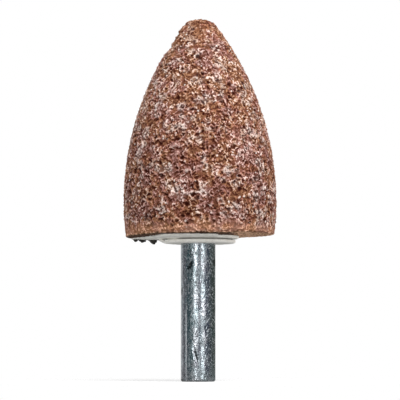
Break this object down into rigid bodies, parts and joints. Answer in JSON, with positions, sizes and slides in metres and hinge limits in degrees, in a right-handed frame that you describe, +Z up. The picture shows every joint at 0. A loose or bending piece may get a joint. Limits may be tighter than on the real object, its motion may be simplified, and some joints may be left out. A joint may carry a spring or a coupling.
{
  "type": "mounted point",
  "caption": "Pointed-arch abrasive grinding stone with a blunt nose, cemented onto a plain straight steel spindle for a collet or drill chuck.",
  "frame": {"origin": "centre of the spindle's flat free end, on which the part stands", "axes": "+Z up along the spindle to the stone's nose, -Y towards the viewer of the picture, +X to the viewer's right"},
  "size_m": [0.0281, 0.0282, 0.0674],
  "materials": {
    "bonded_abrasive": "open-grained vitrified abrasive, reddish brown",
    "spindle_steel": "bright drawn steel, scuffed and mottled",
    "pale_cement": "matte off-white cement"
  },
  "bodies": {
    "root": {"abrasive_stone": "bonded_abrasive", "spindle": "spindle_steel", "cement": "pale_cement"}
  },
  "joints": []
}
